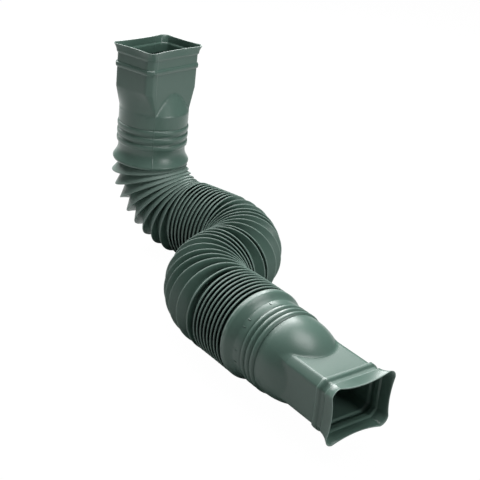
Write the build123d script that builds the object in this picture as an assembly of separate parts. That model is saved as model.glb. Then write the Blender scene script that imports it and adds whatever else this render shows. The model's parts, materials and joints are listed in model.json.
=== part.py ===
from build123d import *
from math import asin, atan2, cos, hypot, radians, sin, sqrt
import os

os.makedirs("parts", exist_ok=True)

# A flexible downspout extension, blow moulded in one piece: a socket for a large rectangular
# downspout at the top, a socket for a smaller one at the bottom and a folding bellows between
# them. It is shown bent, with its upper end standing and the rest lying on the ground.
# Sizes are in millimetres and turns in degrees. +Z is up, and the wide sides of the upper
# socket face along Y.

wall = 1.0

# Bellows. Each fold has a long cone and a short one. A closed fold has its short cone turned
# back inside the long one, and a bend is a row of folds that are pulled open on one side.
crest_r = 62.0
fold_depth = 13.3
long_rise = 16.8
short_rise = 9.3
inner_edge = 5.0
first_slip = 4.8         # how far the first fold gives way sideways below the collar

# Turn of each fold, from the collar of the upper socket to the shoulder of the lower one. The
# upper socket leans a little out over the run that lies on the ground.
lean = 1.4
drop_bend = [10.6] * 5 + [9.6] * 4
upper_run = [0.3] * 9
right_bend = [10.4] * 3 + [5.8] * 2 + [11.2] * 3 + [0.8, 8.3]
left_bend = [3.7] * 2 + [6.8] + [11.3] * 2 + [7.5] * 2 + [9.6] * 2 + [3.5]
lower_run = [0.3] * 7

# Shoulder after the last fold, and the short plain land where a socket starts
shoulder_round = 6.0
shoulder_reach = 9.9
land = 3.0

# Both sockets
bead_count = 3
bead_land = 0.45
corner_r = 9.0
foot_corner = 0.8
skin_gap = 0.1
side_bow = 0.6
rib_height = 1.9
rib_half = 4.5
lip_step = 1.8
lip_flare = 4.0
wide_lip_bow = 3.8
narrow_lip_bow = 3.0

# Upper socket. Its lengths follow one another from the widest circle of its collar: the land,
# the bell, the neck, the ring beads, the tube, the taper, and the way to the rib, lip and rim.
upper_half_w = 58.0
upper_half_d = 39.5
upper_neck_r = 54.4
upper_bell = 18.0
upper_neck = 6.1
upper_groove_r = 55.0
upper_bead_r = 57.4
upper_bead_half = 5.0
upper_bead_gap = 2.4
upper_tube_r = 56.0
upper_tube = 19.6
upper_dome_rise = 105.0
upper_dome_curve = 1.0
upper_taper = 36.0
upper_to_rib = 35.0
upper_to_lip = 19.0
upper_lip = 12.5

# Lower socket, in the same way from the widest circle of its shoulder
lower_half_w = 43.5
lower_half_d = 32.5
lower_neck_r = 56.0
lower_bell = 23.0
lower_neck = 4.4
lower_groove_r = 53.2
lower_bead_r = 56.6
lower_bead_half = 3.9
lower_bead_gap = 1.5
lower_tube_r = 54.3
lower_tube = 4.85
lower_dome_rise = 69.0
lower_dome_curve = 2.0
lower_taper = 36.4
lower_to_rib = 60.0
lower_to_lip = 11.0
lower_lip = 16.0

# Sizes that follow from those above
root_r = crest_r - fold_depth
long_cone = (fold_depth, long_rise)
closed_cone = (-fold_depth, -short_rise)


# Wall between the two skins of the bellows

def inset(before, after):
    """Step from a fold line of the outer skin to the same line of the inner one.
    Both sides of the line are given as (radial, axial) directions along the tube."""
    first = Vector(-before[1], before[0]).normalized()
    second = Vector(-after[1], after[0]).normalized()
    step = (first + second) * (wall / (1 + first.dot(second)))
    return step * min(1.0, inner_edge / step.length)


def ring(plane, side, radius, near, far):
    """Circle near a fold line. The side vector is the line that the tube bends about, near is
    the step of the closed side of the bend and far that of its open side."""
    inward = side.cross(plane.z_dir)
    start = plane.origin + inward * (radius + near.X) + plane.z_dir * near.Y
    end = plane.origin - inward * (radius + far.X) + plane.z_dir * far.Y
    span = end - start
    middle = Plane(start + span * 0.5, plane.x_dir, side.cross(span).normalized())
    return Edge.make_circle(span.length / 2, middle)


def circle(plane, radius, along=0.0):
    return Edge.make_circle(radius, plane.offset(along))


# Folds

def turned(vector, side, turn):
    return vector.rotate(Axis((0, 0, 0), side), turn)


def fold(crest, side, turn, slip):
    """Root and next crest after a crest. The root line keeps its closed side where it is and
    opens on the other side."""
    inward = side.cross(crest.z_dir)
    swing = radians(turn)
    centre = crest.origin + inward * (root_r * (1 - cos(swing)))
    centre += crest.z_dir * (root_r * sin(swing) - short_rise)
    root = Plane(centre, turned(crest.x_dir, side, turn), turned(crest.z_dir, side, turn))
    following = root.offset(long_rise)
    following.origin -= side.cross(root.z_dir) * slip
    return root, following


def open_cone(turn):
    """Short cone on the open side, seen from its crest"""
    return (-fold_depth, 2 * root_r * sin(radians(turn)) - short_rise)


def seen_from_root(cone, turn):
    swing = radians(turn)
    return (cone[0] * cos(swing) - cone[1] * sin(swing), cone[0] * sin(swing) + cone[1] * cos(swing))


def skins_between(collar, folds):
    """Outer and inner rings of all folds, and the plane of the last crest"""
    outer = [circle(collar, crest_r, -land), circle(collar, crest_r)]
    inner = [circle(collar, crest_r - wall, -land)]
    crest = collar
    near_cone = far_cone = (0.0, land)
    slip = first_slip
    for side, turn in folds:
        near = inset(near_cone, closed_cone)
        far = inset(far_cone, open_cone(turn))
        inner.append(ring(crest, side, crest_r, near, far))
        root, crest = fold(crest, side, turn, slip)
        near_cone = (fold_depth - slip, long_rise)
        far_cone = (fold_depth + slip, long_rise)
        near = inset(seen_from_root(closed_cone, turn), near_cone)
        far = inset(seen_from_root(open_cone(turn), -turn), far_cone)
        inner.append(ring(root, side, root_r, near, far))
        outer += [circle(root, root_r), circle(crest, crest_r)]
        slip = 0.0
    return outer, inner, crest


def shoulder_rings(crest, outer, inner):
    """Last closed cone, then a cone that runs tangent into a rounded shoulder"""
    side = crest.x_dir
    near = inset(long_cone, closed_cone)
    inner.append(ring(crest, side, crest_r, near, near))
    middle_r = crest_r - shoulder_round
    reach = (middle_r - root_r, shoulder_reach + short_rise)
    slope = atan2(reach[1], reach[0]) - asin(shoulder_round / hypot(*reach))
    near = inset(closed_cone, (cos(slope), sin(slope)))
    root = crest.offset(-short_rise)
    outer.append(circle(root, root_r))
    inner.append(ring(root, side, root_r, near, near))
    steps = 4
    for i in range(steps + 1):
        tilt = (radians(90) - slope) * (1 - i / steps)
        for rings, radius in ((outer, shoulder_round), (inner, shoulder_round - wall)):
            level = shoulder_reach - radius * sin(tilt)
            rings.append(circle(crest, middle_r + radius * cos(tilt), level))
    outer.append(circle(crest, crest_r, shoulder_reach + land))
    inner.append(circle(crest, crest_r - wall, shoulder_reach + land))
    return crest.offset(shoulder_reach)


def skin(rings):
    return [Face.make_surface_from_curves(a, b) for a, b in zip(rings, rings[1:])]


def end_face(outer, inner):
    return Face(Wire([outer]), [Wire([inner])])


# Sockets

def bowed_rectangle(half_w, half_d, corner, wide_bow, narrow_bow, level):
    """Rectangle with round corners and sides that are drawn in a little at the middle"""
    x, y, c = half_w, half_d, corner
    k = c * (1 - sqrt(0.5))
    ends = [(x, y - c), (x - c, y), (c - x, y), (-x, y - c), (-x, c - y), (c - x, -y), (x - c, -y)]
    ends += [(x, c - y), ends[0]]
    middles = [(x - k, y - k), (0, y - wide_bow), (k - x, y - k), (narrow_bow - x, 0)]
    middles += [(k - x, k - y), (0, wide_bow - y), (x - k, k - y), (x - narrow_bow, 0)]
    arcs = [ThreePointArc(a, m, b) for a, m, b in zip(ends, middles, ends[1:])]
    return Pos(0, 0, level) * make_face(arcs)


def box_skin(inset_by, over, half_w, half_d, tube_r, foot, taper_top, rib, lip, rim):
    """Rectangular part of a socket, with its rib and its flared lip. At its foot the narrow
    sides bulge out to the round tube, and above it they draw flat."""
    chord = sqrt((tube_r - skin_gap) ** 2 - half_d ** 2)
    foot_w = min(half_w, chord)
    bulge = foot_w - min(half_w, tube_r - skin_gap)
    t = inset_by
    sections = [bowed_rectangle(foot_w - t, half_d - t, foot_corner, side_bow, bulge, foot)]
    levels = [(taper_top, 0, 0), (rib - rib_half, 0, 0)]
    levels += [(rib - 0.4 * rib_half, rib_height, 0), (rib + 0.4 * rib_half, rib_height, 0)]
    levels += [(rib + rib_half, 0, 0), (lip - 1.5, 0, 0), (lip + 1.5, lip_step, 0.2)]
    levels += [(rim - 4.0, lip_step + 0.35 * (lip_flare - lip_step), 0.5), (rim, lip_flare, 1)]
    if over:
        levels.append((rim + over, lip_flare, 1))
    for level, grow, bow in levels:
        size = grow - t
        bows = [side_bow + bow * (most - side_bow) for most in (wide_lip_bow, narrow_lip_bow)]
        corner = corner_r + size
        sections.append(bowed_rectangle(half_w + size, half_d + size, corner, *bows, level))
    return loft(sections, ruled=True)


def round_skin(inset_by, under, neck_r, bell, groove_r, bead_r, bead_half, beads, tube_r,
               dome_foot, dome_rise, dome_curve):
    """Round part of a socket: the flare, the ring beads, the tube and its domed end. A dome
    curve of 1 draws a cone and one of 2 an ellipse."""
    t = inset_by
    flare_end = (neck_r - t, land + bell)
    start = [(0, land - under), (crest_r - t, land - under)]
    if under:
        start.append((crest_r - t, land))
    around = [(cos(radians(a)), sin(radians(a))) for a in range(0, 73, 12)]
    power = 2 / dome_curve
    dome_points = [((tube_r - t) * c ** power, dome_foot + (dome_rise - t) * s ** power)
                   for c, s in around]
    with BuildPart() as body:
        with BuildSketch(Plane.XZ):
            with BuildLine():
                Polyline(*start)
                Spline((crest_r - t, land), flare_end, tangents=[(0, 1), (0, 1)])
                profile = [flare_end]
                for level in beads:
                    profile.append((groove_r - t, level - bead_half))
                    profile.append((bead_r - t, level - bead_land * bead_half))
                    profile.append((bead_r - t, level + bead_land * bead_half))
                    profile.append((groove_r - t, level + bead_half))
                profile.append((tube_r - t, beads[-1] + 1.5 * bead_half))
                Polyline(*profile, (tube_r - t, dome_foot))
                dome = Spline(*dome_points)
                Polyline(dome @ 1, (0, (dome @ 1).Y), start[0])
            make_face()
        revolve(axis=Axis.Z)
    return body.part


def socket(half_w, half_d, neck_r, bell, neck, groove_r, bead_r, bead_half, bead_gap, tube_r,
           tube, dome_rise, dome_curve, taper, to_rib, to_lip, lip_length):
    """Hollow socket along +Z, open at both ends, that starts on the plain land. Returns the
    level of its rim too."""
    first_bead = land + bell + neck + bead_half
    beads = [first_bead + (2 * bead_half + bead_gap) * i for i in range(bead_count)]
    foot = beads[-1] + 1.5 * bead_half + tube
    top = foot + taper
    rib = top + to_rib
    lip = rib + to_lip
    rim = lip + lip_length
    bodies = []
    for t, over in ((0.0, 0.0), (wall, 2.0)):
        box = box_skin(t, over, half_w, half_d, tube_r, foot, top, rib, lip, rim)
        bodies.append(box + round_skin(t, over, neck_r, bell, groove_r, bead_r, bead_half, beads,
                                       tube_r, foot, dome_rise, dome_curve))
    return bodies[0] - bodies[1], rim


# Assembly along the tube

down, left, up = Vector(0, 0, -1), Vector(-1, 0, 0), Vector(0, 0, 1)
collar = Plane(Vector(0, 0, 0), Vector(1, 0, 0), turned(down, left, -lean))
folds = [(left, turn) for turn in drop_bend]
folds += [(down, turn) for turn in upper_run + right_bend]
folds += [(up, turn) for turn in left_bend]
folds += [(down, turn) for turn in lower_run]

outer, inner, last_crest = skins_between(collar, folds)
shoulder = shoulder_rings(last_crest, outer, inner)
faces = skin(outer) + skin(inner) + [end_face(outer[0], inner[0]), end_face(outer[-1], inner[-1])]
bellows = Solid(Shell(faces))

upright = Plane(collar.origin, collar.x_dir, -collar.z_dir)
upper_socket, upper_rim = socket(
    upper_half_w, upper_half_d, upper_neck_r, upper_bell, upper_neck, upper_groove_r,
    upper_bead_r, upper_bead_half, upper_bead_gap, upper_tube_r, upper_tube, upper_dome_rise,
    upper_dome_curve, upper_taper, upper_to_rib, upper_to_lip, upper_lip)
lower_socket, lower_rim = socket(
    lower_half_w, lower_half_d, lower_neck_r, lower_bell, lower_neck, lower_groove_r,
    lower_bead_r, lower_bead_half, lower_bead_gap, lower_tube_r, lower_tube, lower_dome_rise,
    lower_dome_curve, lower_taper, lower_to_rib, lower_to_lip, lower_lip)

extension = bellows + upright.location * upper_socket + shoulder.location * lower_socket

# The origin lies under the middle of the part, on the ground that it rests on
box = extension.bounding_box()
shift = Vector(-(box.min.X + box.max.X) / 2, -(box.min.Y + box.max.Y) / 2, -box.min.Z)
extension = Pos(shift) * extension

inlet = shift + upright.offset(upper_rim).origin
outlet = shift + shoulder.offset(lower_rim).origin
print("size", box.size, "volume", extension.volume)
print("collar", shift, "inlet", inlet, upright.z_dir, "outlet", outlet, shoulder.z_dir)
print("folds", len(folds), "drop", sum(drop_bend), "level", last_crest.z_dir.Z)

export_step(extension, "parts/downspout_extension.step")
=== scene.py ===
# %% [markdown]
# A flexible downspout extension
#
# This is one blow moulded piece of dark green plastic. It has a rectangular socket at each
# end and a folding bellows between them. The lesson builds its skin as one long tube: a ring
# of points is extruded again and again along the tube, and each new ring is moved, turned and
# sized. At the end the skin gets the thickness of the real wall.

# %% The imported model, and the tools of this lesson
import json
from math import asin, atan2, cos, hypot, pi, radians, sin, sqrt
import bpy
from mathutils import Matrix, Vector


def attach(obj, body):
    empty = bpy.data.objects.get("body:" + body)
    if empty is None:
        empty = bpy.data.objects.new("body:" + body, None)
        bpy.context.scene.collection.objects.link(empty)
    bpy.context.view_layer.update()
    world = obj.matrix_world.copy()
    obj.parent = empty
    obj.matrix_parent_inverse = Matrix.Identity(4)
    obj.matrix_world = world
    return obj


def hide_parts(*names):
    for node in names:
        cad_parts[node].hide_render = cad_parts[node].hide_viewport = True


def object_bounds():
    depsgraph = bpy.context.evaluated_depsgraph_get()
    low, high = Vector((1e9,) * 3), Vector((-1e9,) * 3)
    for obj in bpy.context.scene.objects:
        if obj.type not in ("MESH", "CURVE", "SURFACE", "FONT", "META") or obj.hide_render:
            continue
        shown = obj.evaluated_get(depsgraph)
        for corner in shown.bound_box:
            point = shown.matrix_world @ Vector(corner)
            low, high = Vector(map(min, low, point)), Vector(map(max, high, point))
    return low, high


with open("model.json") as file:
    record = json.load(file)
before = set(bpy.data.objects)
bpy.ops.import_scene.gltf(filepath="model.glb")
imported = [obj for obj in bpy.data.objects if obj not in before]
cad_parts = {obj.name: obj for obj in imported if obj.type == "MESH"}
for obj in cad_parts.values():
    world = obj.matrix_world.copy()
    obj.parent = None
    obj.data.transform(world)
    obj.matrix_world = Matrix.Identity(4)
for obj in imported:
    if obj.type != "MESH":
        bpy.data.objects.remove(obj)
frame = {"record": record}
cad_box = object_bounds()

from types import SimpleNamespace

import bmesh
import bpy
from mathutils import Matrix, Quaternion, Vector

MM = 0.001
NODE = "downspout_extension"

# %% [markdown]
# The sizes of the bellows
#
# Lengths are in millimetres, as on a drawing, and turns in degrees. The crest is the outer
# edge of a fold and the root its inner edge. Each fold has a long cone and a short one, and in
# a closed fold the short cone is turned back under the long one. A bend is nothing more than a
# row of folds that are pulled open on one side, so the list of turns is the whole pose. Each
# turn is made about a line that points down, left or up.

# %% Sizes of the bellows
crest_r = 62.0
fold_depth = 13.3
root_r = crest_r - fold_depth
long_rise = 16.8
short_rise = 9.3
first_slip = 4.8         # how far the first crest slides towards the open side of its bend
wall = 1.1
drop_bend = [10.6] * 5 + [9.6] * 4
upper_run = [0.3] * 9
right_bend = [10.4] * 3 + [5.8] * 2 + [11.2] * 3 + [0.8, 8.3]
left_bend = [3.7] * 2 + [6.8] + [11.3] * 2 + [7.5] * 2 + [9.6] * 2 + [3.5]
lower_run = [0.3] * 7
down, left, up = Vector((0, 0, -1)), Vector((-1, 0, 0)), Vector((0, 0, 1))
folds = [(left, turn) for turn in drop_bend]
folds += [(down, turn) for turn in upper_run + right_bend]
folds += [(up, turn) for turn in left_bend]
folds += [(down, turn) for turn in lower_run]
print("folds", len(folds))

# %% [markdown]
# A plane to draw each ring in
#
# Every ring lies in a plane across the tube. The plane has a middle, a direction for the wide
# side of the sockets and a direction along the tube. One could bend a straight tube with a
# curve, but then the folds would stretch evenly. Here the plane walks along the product fold
# by fold, so each fold opens on its own, as the real ones do.

# %% The walking plane
def turned(vector, side, turn):
    return Quaternion(side, radians(turn)) @ vector


class Section:
    """Plane across the tube"""

    def __init__(self, middle, wide, along):
        self.middle, self.wide, self.along = middle.copy(), wide.copy(), along.copy()

    def ahead(self, distance):
        return Section(self.middle + self.along * distance, self.wide, self.along)

    def to_world(self, x, y, level=0.0):
        across = self.along.cross(self.wide)
        return self.middle + self.wide * x + across * y + self.along * level


mount = frame["record"]["mounts"][0]
inlet = Vector(mount["pos_m"]) / MM
upright_axis = Vector(mount["axis"]).normalized()
upper_rim = 186.5        # from the widest circle of the collar to the upper rim
collar_middle = inlet - upright_axis * upper_rim
collar = Section(collar_middle, Vector((1, 0, 0)), -upright_axis)
print("collar", [round(v, 2) for v in collar_middle])

# %% [markdown]
# Walking through the folds
#
# When a fold turns, the closed side of its root stays where it is and the other side moves
# ahead. The next crest lies one long cone further on. The widest circle of the collar counts
# as the crest that the first fold starts from.

# %% Planes of all roots and crests
def next_fold(crest, side, turn, slip):
    """Root and next crest of a fold that turns about a line to the given side"""
    inward = side.cross(crest.along)
    swing = radians(turn)
    middle = crest.middle + inward * (root_r * (1 - cos(swing)))
    middle += crest.along * (root_r * sin(swing) - short_rise)
    root = Section(middle, turned(crest.wide, side, turn), turned(crest.along, side, turn))
    following = root.ahead(long_rise)
    following.middle -= side.cross(root.along) * slip
    return root, following


crests = [collar]
roots = []
slip = first_slip
for side, turn in folds:
    root, crest = next_fold(crests[-1], side, turn, slip)
    roots.append(root)
    crests.append(crest)
    slip = 0.0
last_crest = crests[-1]
print("last crest", [round(v, 1) for v in last_crest.middle], "along",
      [round(v, 4) for v in last_crest.along])

# %% [markdown]
# Growing the skin
#
# The skin starts as a circle primitive. An extrude of its open edge makes the next ring, and
# the new points are still selected, so they can be placed at once. Each point remembers its
# spoke, which is its number around the tube, so a ring of the bellows, a bead of the socket
# and the rectangle of its mouth all join the same spokes and the mesh has no twist. It also
# remembers whether it lies on an edge where the plastic later paints a highlight, a lighter
# colour that stands in for the light lines along crests and rims.

# %% A skin that grows ring by ring
spokes = 100


def open_length(name, section, outline):
    """A circle primitive whose points are placed on the first outline, open for editing"""
    bpy.ops.object.select_all(action="DESELECT")
    bpy.ops.mesh.primitive_circle_add(vertices=spokes, radius=crest_r * MM)
    piece = bpy.context.object
    piece.name = name
    piece.data.attributes.new("spoke", "INT", "POINT")
    # This attribute marks the edges that get a painted highlight and a rougher finish.
    piece.data.attributes.new("highlight_edge", "FLOAT", "POINT")
    bpy.ops.object.mode_set(mode="EDIT")
    bpy.ops.mesh.select_all(action="SELECT")
    mesh = bmesh.from_edit_mesh(piece.data)
    spoke = mesh.verts.layers.int["spoke"]
    mesh.verts.ensure_lookup_table()
    for number, point in enumerate(mesh.verts):
        point[spoke] = number
        point.co = section.to_world(*outline[number]) * MM
    bmesh.update_edit_mesh(piece.data)
    return piece


def grow(piece, section, outline, painted_highlight):
    """Extrudes the open edge and places the new points on the next outline"""
    bpy.ops.mesh.extrude_region_move()
    mesh = bmesh.from_edit_mesh(piece.data)
    spoke = mesh.verts.layers.int["spoke"]
    wear_and_highlight = mesh.verts.layers.float["highlight_edge"]
    for point in mesh.verts:
        if point.select:
            point.co = section.to_world(*outline[point[spoke]]) * MM
            # A point on a crest is marked for the painted highlight.
            point[wear_and_highlight] = painted_highlight
    bmesh.update_edit_mesh(piece.data)


def close_length(piece):
    bpy.ops.object.mode_set(mode="OBJECT")
    print(piece.name, "has", len(piece.data.vertices), "points")


angles = [2 * pi * i / spokes for i in range(spokes)]


def circle(radius, level=0.0, around=angles):
    """Outline of a round ring, as points (x, y, level)"""
    return [(radius * cos(a), radius * sin(a), level) for a in around]


print("spokes", spokes)

# %% [markdown]
# Crests and roots
#
# A fold of a real bellows has no knife edge: the mould has a small radius there, so the
# plastic goes round each crest in a small bead. The skin takes a few rings round the crest and
# two at the root, and runs straight between them. Where a bend opens a fold, the far side of
# the ring is further ahead than the near side. That happens by itself, since each ring lies
# in its own plane.

# %% Rings of one fold
crest_bead_r = 1.15
crest_bead_turns = (-50, 5, 60, 115)
crest_bead_lift = 0.2
root_half = 0.7

crest_rings = [circle(crest_r - crest_bead_r + crest_bead_r * cos(radians(a)),
                      crest_bead_r * sin(radians(a)) + crest_bead_lift)
               for a in crest_bead_turns]
root_rings = [circle(root_r, -root_half), circle(root_r, root_half)]
print("rings of a fold", len(root_rings) + len(crest_rings))

# %% [markdown]
# The shoulder of the lower end
#
# After the last fold the tube widens once more, in a smooth shoulder that carries the lower
# socket. Its cone runs tangent into a round of its own, so the rings are spaced by angle.

# %% Rings of the shoulder
shoulder_round = 6.0
shoulder_reach = 9.9
shoulder_steps = 8
last_root = ((0.0, -0.4), (0.3, 0.7))     # of each ring: wider than the root, and past it


def shoulder_outlines():
    middle_r = crest_r - shoulder_round
    reach = (middle_r - root_r, shoulder_reach + short_rise)
    slope = atan2(reach[1], reach[0]) - asin(shoulder_round / hypot(*reach))
    rings = [circle(root_r + wider, -short_rise + past) for wider, past in last_root]
    for i in range(shoulder_steps + 1):
        tilt = (radians(90) - slope) * (1 - i / shoulder_steps)
        level = shoulder_reach - shoulder_round * sin(tilt)
        rings.append(circle(middle_r + shoulder_round * cos(tilt), level))
    return rings


shoulder_rings = shoulder_outlines()
shoulder = last_crest.ahead(shoulder_reach)
print("rings of the shoulder", len(shoulder_rings))

# %% [markdown]
# The rectangle of a socket
#
# A socket ends as a rectangle, and its points must follow the same spokes as the round rings.
# So each quarter of the outline has a fixed number of steps for half a narrow side, a corner
# and half a wide side. The corners of such sockets are nearly flat strips, and the sides are
# drawn in a little at the middle.

# %% Outline of a rectangle
quarter = spokes // 4
corner_steps = 6
narrow_steps = 6
wide_steps = quarter - corner_steps - narrow_steps
corner_strip = 0.8       # how far a corner is a flat strip instead of a round
quarter_signs = ((1, 1), (-1, 1), (-1, -1), (1, -1))


def rectangle(half_w, half_d, corner, wide_bow, narrow_bow, strip=corner_strip):
    """Points of a rectangle, one for each spoke, from the middle of its right side onwards"""
    narrow = []
    for i in range(narrow_steps):
        t = i / narrow_steps
        narrow.append((half_w - narrow_bow * (1 - t * t), (half_d - corner) * t))
    arc = []
    for i in range(corner_steps + 1):
        t = i / corner_steps
        x = (1 - strip) * cos(pi / 2 * t) + strip * (1 - t)
        y = (1 - strip) * sin(pi / 2 * t) + strip * t
        arc.append((half_w - corner + corner * x, half_d - corner + corner * y))
    wide = []
    for i in range(1, wide_steps + 1):
        t = 1 - i / wide_steps
        wide.append(((half_w - corner) * t, half_d - wide_bow * (1 - t * t)))
    first_quarter = narrow + arc + wide
    points = []
    for number, (sign_x, sign_y) in enumerate(quarter_signs):
        part = first_quarter[::-1] if number % 2 else first_quarter
        points += [(sign_x * x, sign_y * y) for x, y in part[:-1]]
    return points


print("steps of a quarter", narrow_steps, corner_steps, wide_steps)

# %% [markdown]
# Sizes of the two sockets
#
# Both sockets have the same features in the same order, so one list of named values drives
# each of them. Levels are measured from the widest circle of the collar or the shoulder. From
# there the tube draws in to a neck, has three ring beads and a short plain tube, and closes in
# a dome between the flat sides. Then come a rib, a step and a flared lip. The upper neck is
# drawn in by a power, and the lower one, which has none, by an S curve.

# %% Sizes of the sockets
corner_r = 9.0
foot_corner = 0.8
corner_growth = 0.4      # how much a corner's radius grows with the rectangle
side_bow = 0.6
rib_height = 2.1
rib_half = 4.5
rib_slope = 1.75
lip_step = 1.8
lip_step_half = 1.6
lip_curve = 1.7          # how late the lip turns outwards
lip_bow_curve = 1.3      # how late its sides draw in

upper_sizes = SimpleNamespace(
    half_w=58.0, half_d=39.5, flare_top=crest_r - 0.7, flare_start=2.2, flare_end=20.0,
    flare_power=1.8, neck_r=54.4, groove_r=55.0, bead_r=57.4, bead_half=5.0, first_bead=32.1,
    bead_pitch=12.4, tube_r=56.0, dome_foot=84.0, dome_rise=105.0, dome_is_cone=True,
    taper_top=120.0, arch_end=121.0, rib=155.0, lip=174.0, rim=upper_rim, lip_flare=4.0,
    wide_lip_bow=3.4, narrow_lip_bow=3.0)
lower_sizes = SimpleNamespace(
    half_w=43.5, half_d=32.5, flare_top=crest_r, flare_start=4.0, flare_end=17.5,
    flare_power=None, neck_r=55.5, groove_r=53.2, bead_r=56.6, bead_half=3.9, first_bead=34.3,
    bead_pitch=9.3, tube_r=54.3, dome_foot=63.6, dome_rise=69.0, dome_is_cone=False,
    taper_top=100.0, arch_end=124.0, rib=160.0, lip=171.0, rim=187.0, lip_flare=5.4,
    wide_lip_bow=5.6, narrow_lip_bow=3.4)
print("rims", upper_sizes.rim, lower_sizes.rim)

# %% [markdown]
# The rectangular form and the round form
#
# The rectangle grows out of the tube, keeps its size, and is widened by the rib, the step and
# the lip. The round form is a dome: a cone at the upper end, where it draws pointed arches on
# the sides, and half an ellipse at the lower one.

# %% The two forms at one level
def smooth(value):
    value = min(max(value, 0.0), 1.0)
    return value * value * (3 - 2 * value)


def box_outline(s, level):
    """Rectangle of a socket at a level"""
    wider = 0.0
    bow = 0.0
    from_rib = abs(level - s.rib) / rib_half
    if from_rib < 1:
        wider = rib_height * smooth((1 - from_rib) * rib_slope)
    past_step = level - s.lip - lip_step_half
    if past_step > -2 * lip_step_half:
        wider = lip_step * smooth(past_step / (2 * lip_step_half) + 1)
    if past_step > 0:
        share = past_step / (s.rim - s.lip - lip_step_half)
        wider = lip_step + (s.lip_flare - lip_step) * share ** lip_curve
        bow = share ** lip_bow_curve
    full = rectangle(s.half_w + wider, s.half_d + wider, corner_r + corner_growth * wider,
                     side_bow + bow * (s.wide_lip_bow - side_bow),
                     side_bow + bow * (s.narrow_lip_bow - side_bow), corner_strip * (1 - bow))
    if level >= s.taper_top:
        return full
    share = (level - s.dome_foot) / (s.taper_top - s.dome_foot)
    foot_w = min(s.half_w, sqrt(s.tube_r ** 2 - s.half_d ** 2))
    bulge = foot_w - min(s.half_w, s.tube_r)
    foot = rectangle(foot_w, s.half_d, foot_corner, side_bow, bulge)
    return [(a[0] + (b[0] - a[0]) * share, a[1] + (b[1] - a[1]) * share)
            for a, b in zip(foot, full)]


def dome_radius(s, level):
    """Radius of the round form at a level past the beads"""
    share = min(max((level - s.dome_foot) / s.dome_rise, 0.0), 1.0)
    return s.tube_r * ((1 - share) if s.dome_is_cone else sqrt(1 - share * share))


print("dome at its middle", round(dome_radius(upper_sizes, 130.0), 1),
      round(dome_radius(lower_sizes, 100.0), 1))

# %% [markdown]
# The round half of a socket
#
# The rings between collar and dome are plain circles. Their spokes slide from even spacing to
# the angles of the rectangle's points, a little with each ring, so no face is drawn askew
# where the round tube meets the corners.

# %% Round rings of a socket
spacing_start = 3.0
flare_steps = 10
neck_gap = 2.4
bead_profile = (-1.0, -0.82, -0.62, -0.3, 0.3, 0.62, 0.82, 1.0)
bead_slope = 2.0
bead_fullness = 0.8
beads = 3
tube_start = 1.5         # from the middle of the last bead, in half beads
tube_edge = (0.1, 0.9)   # how much narrower the ring before it is, and how far before it
tube_pitch = 2.5
dome_clearance = 3.0     # plain rings end this near to the foot of the dome
rounding = 1e-9          # an angle this little below zero is zero


def box_angles(s):
    """Angle of each spoke on the rectangle"""
    around = [atan2(y, x) for x, y in box_outline(s, s.taper_top)]
    return [a if a > -rounding else a + 2 * pi for a in around]


def flare_profile(s):
    """Radius and level of the rings from the collar or shoulder in to the neck"""
    for i in range(flare_steps + 1):
        share = i / flare_steps
        drop = smooth(share) if s.flare_power is None else 1 - (1 - share) ** s.flare_power
        yield (s.flare_top - (s.flare_top - s.neck_r) * drop,
               s.flare_start + (s.flare_end - s.flare_start) * share)
    yield s.neck_r, s.first_bead - s.bead_half - neck_gap


def bead_and_tube_profile(s):
    """Radius and level of the rings over the beads and up to the foot of the dome"""
    for number in range(beads):
        bead = s.first_bead + s.bead_pitch * number
        for past in bead_profile:
            proud = smooth((1 - abs(past)) * bead_slope) ** bead_fullness
            yield s.groove_r + (s.bead_r - s.groove_r) * proud, bead + past * s.bead_half
    level = s.first_bead + s.bead_pitch * (beads - 1) + tube_start * s.bead_half
    yield s.tube_r - tube_edge[0], level - tube_edge[1]
    yield s.tube_r, level
    while level < s.dome_foot - dome_clearance:
        level += tube_pitch
        yield s.tube_r, level


def round_rings(s):
    target = box_angles(s)
    rings = []
    for radius, level in list(flare_profile(s)) + list(bead_and_tube_profile(s)):
        share = smooth((level - spacing_start) / (s.dome_foot - spacing_start))
        around = [a + (b - a) * share for a, b in zip(angles, target)]
        rings.append(circle(radius, level, around))
    return rings


print("round rings", len(round_rings(upper_sizes)), len(round_rings(lower_sizes)))

# %% [markdown]
# The domed half of a socket
#
# In clay one would press the dome and the rectangle into each other and wipe the joint with a
# thumb. The points do the same here: each lies on the rectangle or on the round form,
# whichever is further out, and a soft maximum rounds the line where they meet, as the mould
# does. A boolean would need a bevel along that line afterwards, and it would break the spokes.

# %% Rings with dome, rib, step and lip
crease_round = 0.7
arch_pitch = 2.0
plain_pitch = 6.0        # from the end of the arches on
rib_clearance = 3.0
rib_profile = (-1.25, -1, -0.85, -0.6, -0.35, 0, 0.35, 0.6, 0.85, 1, 1.25)
step_profile = (-2.4, -1.6, -0.8, 0, 0.8, 1.6, 2.6)
lip_profile = (0.2, 0.4, 0.6, 0.8, 1.0)


def soft_max(a, b, blend):
    near = max(blend - abs(a - b), 0.0) / blend
    return max(a, b) + near * near * blend / 4


def box_levels(s):
    """Levels of the rings from the foot of the dome to the rim, close where the form changes"""
    levels = [s.taper_top]
    level = s.dome_foot
    while level < min(s.dome_foot + s.dome_rise, s.rib - rib_half - rib_clearance):
        levels.append(level)
        level += arch_pitch if level < s.arch_end else plain_pitch
    levels += [s.rib + rib_half * past for past in rib_profile]
    levels += [s.lip + past for past in step_profile]
    lip_start = s.lip + step_profile[-1]
    levels += [lip_start + (s.rim - lip_start) * share for share in lip_profile]
    return sorted(set(levels))


def domed_rings(s):
    rings = []
    for level in box_levels(s):
        tube = dome_radius(s, level)
        ring = []
        for x, y in box_outline(s, level):
            reach = hypot(x, y)
            further = soft_max(reach, tube, crease_round) / reach
            ring.append((x * further, y * further, level))
        rings.append(ring)
    return rings


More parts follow.
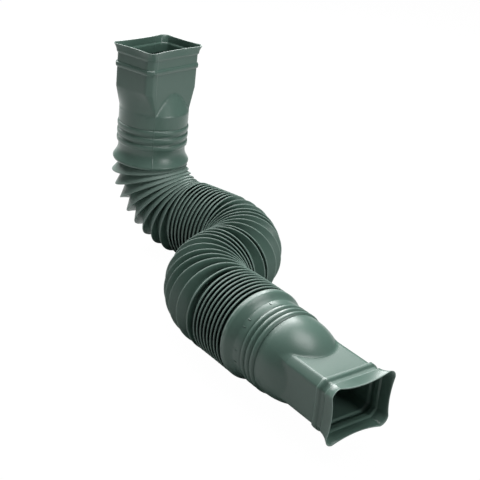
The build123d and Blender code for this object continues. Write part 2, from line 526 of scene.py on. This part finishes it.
upper_rings = round_rings(upper_sizes) + domed_rings(upper_sizes)
lower_rings = round_rings(lower_sizes) + domed_rings(lower_sizes)
print("rings of the sockets", len(upper_rings), len(lower_rings))

# %% [markdown]
# The order of the rings
#
# The upper socket is walked from its rim down to its collar, then every fold of the bellows,
# then the shoulder and the lower socket. The plane of the collar faces down, so the rings of
# the upper socket are turned over first, and their points put back in the order of the spokes.
# Editing slows down as a mesh grows, so the skin is made in short lengths that share a ring.

# %% Lists of rings for each length
folds_per_length = 9
collar_edge = ((0.0, -1.0), (0.1, 0.6), (0.9, 2.1), (2.3, 3.0), (4.2, 3.0))


def turned_over(outline):
    return [(outline[-i % spokes][0], -outline[-i % spokes][1], -outline[-i % spokes][2])
            for i in range(spokes)]


collar_rings = [(collar, circle(crest_r - inside, level)) for inside, level in collar_edge]
upper_length = [(collar, turned_over(ring)) for ring in reversed(upper_rings)]
upper_length.append(collar_rings[0])

bellows_lengths = [list(collar_rings)]
for number, (root, crest) in enumerate(zip(roots, crests[1:]), start=1):
    bellows_lengths[-1] += [(root, ring) for ring in root_rings]
    bellows_lengths[-1] += [(crest, ring) for ring in crest_rings]
    if number % folds_per_length == 0:
        bellows_lengths.append([bellows_lengths[-1][-1]])
bellows_lengths[-1] += [(last_crest, ring) for ring in shoulder_rings]

lower_length = [(last_crest, shoulder_rings[-1])]
lower_length += [(shoulder, ring) for ring in lower_rings]
print("lengths", 2 + len(bellows_lengths))

# %% [markdown]
# Growing all lengths
#
# Now each list is run through once. The crests, and the widest rings of the shoulder, are
# marked for a painted highlight: the plastic draws them lighter, in place of the light lines
# that run along these edges, and a little rougher.

# %% Making the lengths
crest_band = 0.9         # a ring this near to the widest radius gets the painted highlight


def length_of_skin(name, rings):
    """Grows one length of skin through a list of (section, outline)"""
    piece = open_length(name, *rings[0])
    for section, outline in rings[1:]:
        x, y, _ = outline[0]
        # A ring on a crest gets the painted highlight.
        on_crest = section in crests[1:] and abs(hypot(x, y) - crest_r) < crest_band
        grow(piece, section, outline, 1.0 if on_crest else 0.0)
    close_length(piece)
    return piece


lengths = [length_of_skin("upper_length", upper_length)]
for i, rings in enumerate(bellows_lengths):
    lengths.append(length_of_skin(f"bellows_length_{i}", rings))
lengths.append(length_of_skin("lower_length", lower_length))

# %% [markdown]
# One skin with a real wall
#
# The lengths are joined, their shared rings merged, and the normals made to point outwards.
# Solidify then gives the wall its thickness towards the inside, so the outer size stays as it
# is. It leaves the edges of both mouths a little slanted, as it follows the flare of the lip,
# so the points of each rim are slid into one plane. The rims get the painted highlight too, a
# lighter colour in place of the thin light line along each rim.

# %% Joining and thickening
merge_distance = 0.02
rim_band = 1.3           # points this near to the plane of a rim belong to it
mouth_reach = 90.0       # and lie no further than this from its middle


def joined(pieces, name):
    """All pieces as one object"""
    bpy.ops.object.select_all(action="DESELECT")
    for piece in pieces:
        piece.select_set(True)
    bpy.context.view_layer.objects.active = pieces[0]
    bpy.ops.object.join()
    whole = bpy.context.object
    whole.name = name
    whole.data.name = name
    return whole


skin = joined(lengths, "green_extension")
bpy.ops.object.mode_set(mode="EDIT")
bpy.ops.mesh.select_all(action="SELECT")
bpy.ops.mesh.remove_doubles(threshold=merge_distance * MM)
bpy.ops.mesh.normals_make_consistent(inside=False)
bpy.ops.object.mode_set(mode="OBJECT")

solidify = skin.modifiers.new("wall", "SOLIDIFY")
solidify.thickness = wall * MM
solidify.offset = -1.0
solidify.use_even_offset = False
solidify.use_rim = True
bpy.ops.object.modifier_apply(modifier="wall")

upright = Section(collar_middle, collar.wide, upright_axis)
for section, rim in ((upright, upper_sizes.rim), (shoulder, lower_sizes.rim)):
    mouth = section.ahead(rim).middle * MM
    for point in skin.data.vertices:
        short = (mouth - point.co).dot(section.along)
        if abs(short) < rim_band * MM and (point.co - mouth).length < mouth_reach * MM:
            point.co += section.along * short
            # The rim points get the painted highlight.
            skin.data.attributes["highlight_edge"].data[point.index].value = 1.0
print("skin has", len(skin.data.polygons), "faces")

# %% [markdown]
# Smooth shading that keeps the flat sides flat
#
# All faces are shaded smooth, apart from edges as sharp as those of a rim. The large flat
# faces then lead the normals of the points that they share with the small faces of rounds and
# beads, so the sides of the sockets stay even in the light.

# %% Shading
sharp_from = 75
bpy.ops.object.shade_smooth_by_angle(angle=radians(sharp_from))
weighted = skin.modifiers.new("flat_faces_lead", "WEIGHTED_NORMAL")
weighted.mode = "FACE_AREA"
weighted.weight = 60
weighted.keep_sharp = True
bpy.ops.object.modifier_apply(modifier="flat_faces_lead")
print("shaded", skin.name)

# %% [markdown]
# Small marks of the mould
#
# Round the shoulder of the lower socket the mould leaves a few small raised dashes, at uneven
# distances. Each is a low block with every edge rounded, seated a little way into the skin, so
# no gap shows under it.

# %% Raised dashes on the shoulder
dash_angles = (98, 133, 144, 177, 195, 262, 310)
dash_level = 20.5
dash_size = (5.0, 1.5, 1.3)
dash_round = 0.55
dash_lift = 0.1
shoulder_across = shoulder.along.cross(shoulder.wide)


def raised_dash(angle):
    """A rounded block on the skin of the shoulder, its length along the tube"""
    turn = radians(angle)
    out = shoulder.wide * cos(turn) + shoulder_across * sin(turn)
    around = shoulder_across * cos(turn) - shoulder.wide * sin(turn)
    seat = shoulder.ahead(dash_level).middle + out * (lower_sizes.neck_r + dash_lift)
    bpy.ops.object.select_all(action="DESELECT")
    bpy.ops.mesh.primitive_cube_add(size=1.0)
    dash = bpy.context.object
    bpy.ops.object.mode_set(mode="EDIT")
    bpy.ops.mesh.select_all(action="SELECT")
    bpy.ops.transform.resize(value=[length * MM for length in dash_size])
    bpy.ops.mesh.bevel(offset=dash_round * MM, segments=3, affect="EDGES")
    bpy.ops.object.mode_set(mode="OBJECT")
    directions = Matrix((shoulder.along, around, out)).transposed().to_4x4()
    dash.matrix_world = Matrix.Translation(seat * MM) @ directions
    bpy.ops.object.transform_apply(location=True, rotation=True, scale=True)
    return dash


dashes = joined([raised_dash(angle) for angle in dash_angles], "mould_dashes")
bpy.ops.object.shade_smooth()
print("dashes", len(dash_angles), "faces", len(dashes.data.polygons))

# %% [markdown]
# Tools for node trees
#
# A material is a tree of nodes. Three helpers make it short to write: one starts a node group
# with named inputs and outputs, one adds a node with its settings, and one adds a step of
# arithmetic.

# %% Helpers for nodes
def new_group(name, inputs, outputs):
    group = bpy.data.node_groups.new(name, "ShaderNodeTree")
    for label, kind, value in inputs:
        socket = group.interface.new_socket(name=label, in_out="INPUT", socket_type=kind)
        if value is not None:
            socket.default_value = value
    for label, kind in outputs:
        group.interface.new_socket(name=label, in_out="OUTPUT", socket_type=kind)
    return group, group.nodes.new("NodeGroupInput"), group.nodes.new("NodeGroupOutput")


def add(tree, kind, **settings):
    node = tree.nodes.new(kind)
    for key, value in settings.items():
        setattr(node, key, value)
    return node


def reckon(tree, operation, a, b=0.0, clamp=False):
    """Math node fed by sockets or by plain numbers"""
    node = add(tree, "ShaderNodeMath", operation=operation, use_clamp=clamp)
    for number, value in enumerate((a, b)):
        if isinstance(value, (int, float)):
            node.inputs[number].default_value = value
        else:
            tree.links.new(value, node.inputs[number])
    return node.outputs[0]


print("helpers", new_group.__name__, add.__name__, reckon.__name__)

# %% [markdown]
# The parting line of the mould
#
# Where the two halves of the mould met, a fine line runs up the upper socket. A group finds
# it: a point is on the line when it is near to a plane through the product. An edge loop in
# the mesh would need faces much finer than all the others.

# %% Node group for a thin line
def plane_line():
    """Mask of a thin line where a plane cuts the surface"""
    group, given, out = new_group(
        "mould_line",
        [("Point", "NodeSocketVector", None), ("On Plane", "NodeSocketVector", None),
         ("Normal", "NodeSocketVector", None), ("Half Width", "NodeSocketFloat", 0.0006)],
        [("Line", "NodeSocketFloat")])
    away = add(group, "ShaderNodeVectorMath", operation="SUBTRACT")
    group.links.new(given.outputs["Point"], away.inputs[0])
    group.links.new(given.outputs["On Plane"], away.inputs[1])
    dot = add(group, "ShaderNodeVectorMath", operation="DOT_PRODUCT")
    group.links.new(away.outputs[0], dot.inputs[0])
    group.links.new(given.outputs["Normal"], dot.inputs[1])
    distance = reckon(group, "ABSOLUTE", dot.outputs["Value"])
    share = reckon(group, "DIVIDE", distance, given.outputs["Half Width"])
    group.links.new(reckon(group, "SUBTRACT", 1.0, share, clamp=True), out.inputs["Line"])
    return group


line_group = plane_line()
print("node group", line_group.name)

# %% [markdown]
# Rub marks, cloudiness and orange peel
#
# Blow moulded plastic is never quite even. It gets fine scuffs, its tone is a little cloudy,
# and the mould gives it a faint orange peel. One group makes all three from noise at three
# sizes. The noise of the scuffs is stretched, so they look like strokes.

# %% Node group for an uneven surface
def noise(group, place, detail, scale=None):
    node = add(group, "ShaderNodeTexNoise")
    node.inputs["Detail"].default_value = detail
    if scale is not None:
        node.inputs["Scale"].default_value = scale
    group.links.new(place, node.inputs["Vector"])
    return node


def rub_marks():
    """Fine scuffs, a soft mottle and a faint peel"""
    group, given, out = new_group(
        "rub_marks", [("Point", "NodeSocketVector", None), ("Scale", "NodeSocketFloat", 60.0)],
        [("Scuff", "NodeSocketFloat"), ("Mottle", "NodeSocketFloat"), ("Peel", "NodeSocketFloat")])
    stretch = add(group, "ShaderNodeMapping")
    stretch.inputs["Rotation"].default_value = (0.5, 0.2, 0.9)
    stretch.inputs["Scale"].default_value = (1.0, 9.0, 1.0)
    group.links.new(given.outputs["Point"], stretch.inputs["Vector"])
    scuff = noise(group, stretch.outputs[0], 5.0)
    scuff.inputs["Roughness"].default_value = 0.7
    group.links.new(given.outputs["Scale"], scuff.inputs["Scale"])
    sharp = add(group, "ShaderNodeMapRange")
    sharp.inputs["From Min"].default_value = 0.56
    sharp.inputs["From Max"].default_value = 0.78
    group.links.new(scuff.outputs[0], sharp.inputs["Value"])
    group.links.new(sharp.outputs[0], out.inputs["Scuff"])
    mottle = noise(group, given.outputs["Point"], 3.0, 22.0)
    group.links.new(mottle.outputs[0], out.inputs["Mottle"])
    peel = noise(group, given.outputs["Point"], 2.0, 420.0)
    group.links.new(peel.outputs[0], out.inputs["Peel"])
    return group


rub_group = rub_marks()
print("node group", rub_group.name)

# %% [markdown]
# Green plastic
#
# The plastic has a satin skin: the light on it is broad and soft. The colour is nearly even,
# with real scuffs and a cloudy tone, and lighter and a little greyer on crests and rims: a
# painted highlight, in place of the light lines along those edges. Those edges are also rougher,
# so they show as even light lines. Object coordinates hold all patterns in place on the piece.

# %% The plastic itself
DEEP_GREEN = (0.066, 0.120, 0.097, 1.0)
# The lighter green serves the real scuffs and cloudy tone, and the painted highlight on crests and
# rims.
SCUFF_AND_HIGHLIGHT_GREEN = (0.125, 0.185, 0.160, 1.0)
scuff_scale = 55.0
# The third share is the painted highlight on crests and rims.
scuff_tint, cloud_tint, edge_highlight_share = 0.16, 0.22, 0.9
smooth_roughness = 0.30
scuff_roughness, cloud_roughness, edge_roughness = 0.12, 0.10, 0.2
seam_angle = 45.0        # the parting plane runs near two corners of the upper socket
seam_half_width = 0.9
seam_height = 0.6
peel_height = 0.4


def plastic_colour(tree, rub, edge):
    tint = add(tree, "ShaderNodeMix", data_type="RGBA")
    tint.inputs["A"].default_value = DEEP_GREEN
    tint.inputs["B"].default_value = SCUFF_AND_HIGHLIGHT_GREEN
    # Painted highlight on crests and rims, added to the real scuffs.
    painted_highlight = reckon(tree, "MULTIPLY", edge, edge_highlight_share)
    wear_and_highlight = reckon(tree, "MULTIPLY", rub.outputs["Scuff"], scuff_tint)
    wear_and_highlight = reckon(tree, "ADD", wear_and_highlight, painted_highlight)
    cloudy = reckon(tree, "MULTIPLY", rub.outputs["Mottle"], cloud_tint)
    tree.links.new(reckon(tree, "ADD", wear_and_highlight, cloudy, clamp=True), tint.inputs["Factor"])
    return tint.outputs["Result"]


def plastic_roughness(tree, rub, edge):
    rough = reckon(tree, "MULTIPLY", rub.outputs["Scuff"], scuff_roughness)
    cloudy = reckon(tree, "MULTIPLY", rub.outputs["Mottle"], cloud_roughness)
    rough = reckon(tree, "ADD", rough, cloudy)
    rough = reckon(tree, "ADD", rough, reckon(tree, "MULTIPLY", edge, edge_roughness))
    return reckon(tree, "ADD", rough, smooth_roughness)


def plastic_relief(tree, place, rub):
    """The parting line, only above the collar, and the orange peel over it"""
    seam = add(tree, "ShaderNodeGroup", node_tree=line_group)
    tree.links.new(place, seam.inputs["Point"])
    turn = radians(seam_angle)
    seam.inputs["On Plane"].default_value = collar_middle * MM
    seam.inputs["Normal"].default_value = (sin(turn), -cos(turn), 0)
    seam.inputs["Half Width"].default_value = seam_half_width * MM
    apart = add(tree, "ShaderNodeSeparateXYZ")
    tree.links.new(place, apart.inputs[0])
    above = reckon(tree, "GREATER_THAN", apart.outputs["Z"], collar_middle.z * MM)
    ridge = add(tree, "ShaderNodeBump")
    ridge.inputs["Strength"].default_value = 0.6
    ridge.inputs["Distance"].default_value = seam_height * MM
    line_above = reckon(tree, "MULTIPLY", seam.outputs["Line"], above)
    tree.links.new(line_above, ridge.inputs["Height"])
    peel = add(tree, "ShaderNodeBump")
    peel.inputs["Strength"].default_value = 0.12
    peel.inputs["Distance"].default_value = peel_height * MM
    tree.links.new(ridge.outputs[0], peel.inputs["Normal"])
    tree.links.new(rub.outputs["Peel"], peel.inputs["Height"])
    return peel.outputs[0]


def green_plastic():
    material = bpy.data.materials.new("green_plastic")
    material.use_nodes = True
    tree = material.node_tree
    shader = tree.nodes["Principled BSDF"]
    shader.inputs["Specular IOR Level"].default_value = 0.5
    shader.inputs["IOR"].default_value = 1.5
    place = add(tree, "ShaderNodeTexCoord").outputs["Object"]
    rub = add(tree, "ShaderNodeGroup", node_tree=rub_group)
    rub.inputs["Scale"].default_value = scuff_scale
    tree.links.new(place, rub.inputs["Point"])
    # The edge mask of the painted highlight, also read for a rougher finish.
    edge = add(tree, "ShaderNodeAttribute", attribute_name="highlight_edge").outputs["Fac"]
    tree.links.new(plastic_colour(tree, rub, edge), shader.inputs["Base Color"])
    tree.links.new(plastic_roughness(tree, rub, edge), shader.inputs["Roughness"])
    tree.links.new(plastic_relief(tree, place, rub), shader.inputs["Normal"])
    return material


plastic = green_plastic()
skin.data.materials.clear()
skin.data.materials.append(plastic)
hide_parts(NODE)
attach(skin, "root")
dashes.data.materials.clear()
dashes.data.materials.append(plastic)
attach(dashes, "root")
print("finish", plastic.name)

# %% [markdown]
# The white sweep
#
# The product lies on white paper in a white room, as in a catalogue. A plain white floor that
# is lit well would throw much light back up at the product and pale its lower side. So the
# floor is grey to the light, and white only to the camera, with a faint trace of its shadow.

# %% Floor
floor_grey = (0.42, 0.42, 0.42, 1)
floor_glow = 1.02
glow_share = 0.97
centre = Vector(((cad_box[0][0] + cad_box[1][0]) / 2, (cad_box[0][1] + cad_box[1][1]) / 2, 0))


def seen_by_camera(tree, target, lit, shown, share=1.0):
    """Mixes two shaders: the camera sees the second one by the given share"""
    path = add(tree, "ShaderNodeLightPath")
    mixed = add(tree, "ShaderNodeMixShader")
    factor = reckon(tree, "MULTIPLY", path.outputs["Is Camera Ray"], share)
    tree.links.new(factor, mixed.inputs[0])
    tree.links.new(lit.outputs[0], mixed.inputs[1])
    tree.links.new(shown.outputs[0], mixed.inputs[2])
    tree.links.new(mixed.outputs[0], target.inputs["Surface"])


bpy.ops.object.select_all(action="DESELECT")
bpy.ops.mesh.primitive_plane_add(size=14.0, location=(centre.x, centre.y, 0))
floor = bpy.context.object
floor.name = "floor"
bpy.ops.object.transform_apply(location=True)
floor.data.materials.clear()
paper = bpy.data.materials.new("white_paper")
paper.use_nodes = True
tree = paper.node_tree
sheet = tree.nodes["Principled BSDF"]
sheet.inputs["Base Color"].default_value = floor_grey
sheet.inputs["Roughness"].default_value = 0.9
glow = add(tree, "ShaderNodeEmission")
glow.inputs["Strength"].default_value = floor_glow
seen_by_camera(tree, tree.nodes["Material Output"], sheet, glow, glow_share)
floor.data.materials.append(paper)
print("floor", floor.name)

# %% [markdown]
# The white room
#
# The room gives a weak even light from all sides, which keeps the folds dark between their
# crests. The camera sees it as plain white, in line with the floor.

# %% Room
room_light = 0.09
world = bpy.data.worlds.new("white_room")
bpy.context.scene.world = world
world.use_nodes = True
tree = world.node_tree
room = tree.nodes["Background"]
room.inputs["Color"].default_value = (1.0, 1.0, 1.0, 1)
room.inputs["Strength"].default_value = room_light
backdrop = add(tree, "ShaderNodeBackground")
backdrop.inputs["Color"].default_value = (1.0, 1.0, 1.0, 1)
backdrop.inputs["Strength"].default_value = 1.0
seen_by_camera(tree, tree.nodes["World Output"], room, backdrop)
print("room", world.name)

# %% [markdown]
# Three soft lights
#
# The strongest light stands behind the product and draws the broad shine on its upper faces. A
# second one hangs above it, and a weaker one in front opens the wide sides of the sockets. All
# of them are large panels, because a satin skin mirrors the shape of its light.

# %% Lights
aim_height = 0.12


def soft_light(name, place, size, power):
    bpy.ops.object.light_add(type="AREA", location=place)
    lamp = bpy.context.object
    lamp.name = name
    lamp.data.shape = "RECTANGLE"
    lamp.data.size, lamp.data.size_y = size
    lamp.data.energy = power
    aim = centre + Vector((0, 0, aim_height)) - Vector(place)
    lamp.rotation_euler = aim.to_track_quat("-Z", "Y").to_euler()
    return lamp


back = soft_light("back_light", (0.93, 1.62, 1.45), (2.15, 1.15), 128)
top = soft_light("top_light", (0.1, -0.3, 2.1), (1.3, 1.3), 38)
front = soft_light("front_light", (0.15, -2.2, 0.85), (0.9, 0.8), 22)
print("lights", back.name, top.name, front.name)

# %% [markdown]
# The camera
#
# The camera looks down on the product from its left front. Its directions were fitted to the
# photograph: one to the right of the picture and one into it. The place of the collar, seen
# from the camera, then says where the camera stands.

# %% Camera
to_right = Vector((0.612, -0.7857, 0.0908))
into_picture = Vector((0.7443, 0.5333, -0.4019))
collar_seen = Vector((-147.1, -138.1, 1515.0))      # right of, below and before the camera

look = into_picture.normalized()
level_right = (to_right - look * to_right.dot(look)).normalized()
picture_down = look.cross(level_right)
to_collar = level_right * collar_seen.x + picture_down * collar_seen.y + look * collar_seen.z
eye = (collar_middle - to_collar) * MM
directions = Matrix((level_right, -picture_down, -look)).transposed().to_4x4()

camera_data = bpy.data.cameras.new("camera")
camera = bpy.data.objects.new("camera", camera_data)
bpy.context.scene.collection.objects.link(camera)
camera.matrix_world = Matrix.Translation(eye) @ directions
camera_data.sensor_width = 36.0
camera_data.lens = 69.0
camera_data.clip_end = 50.0
bpy.context.scene.camera = camera
bpy.context.scene.view_settings.view_transform = "Standard"
print("camera at", [round(v, 3) for v in camera.location])
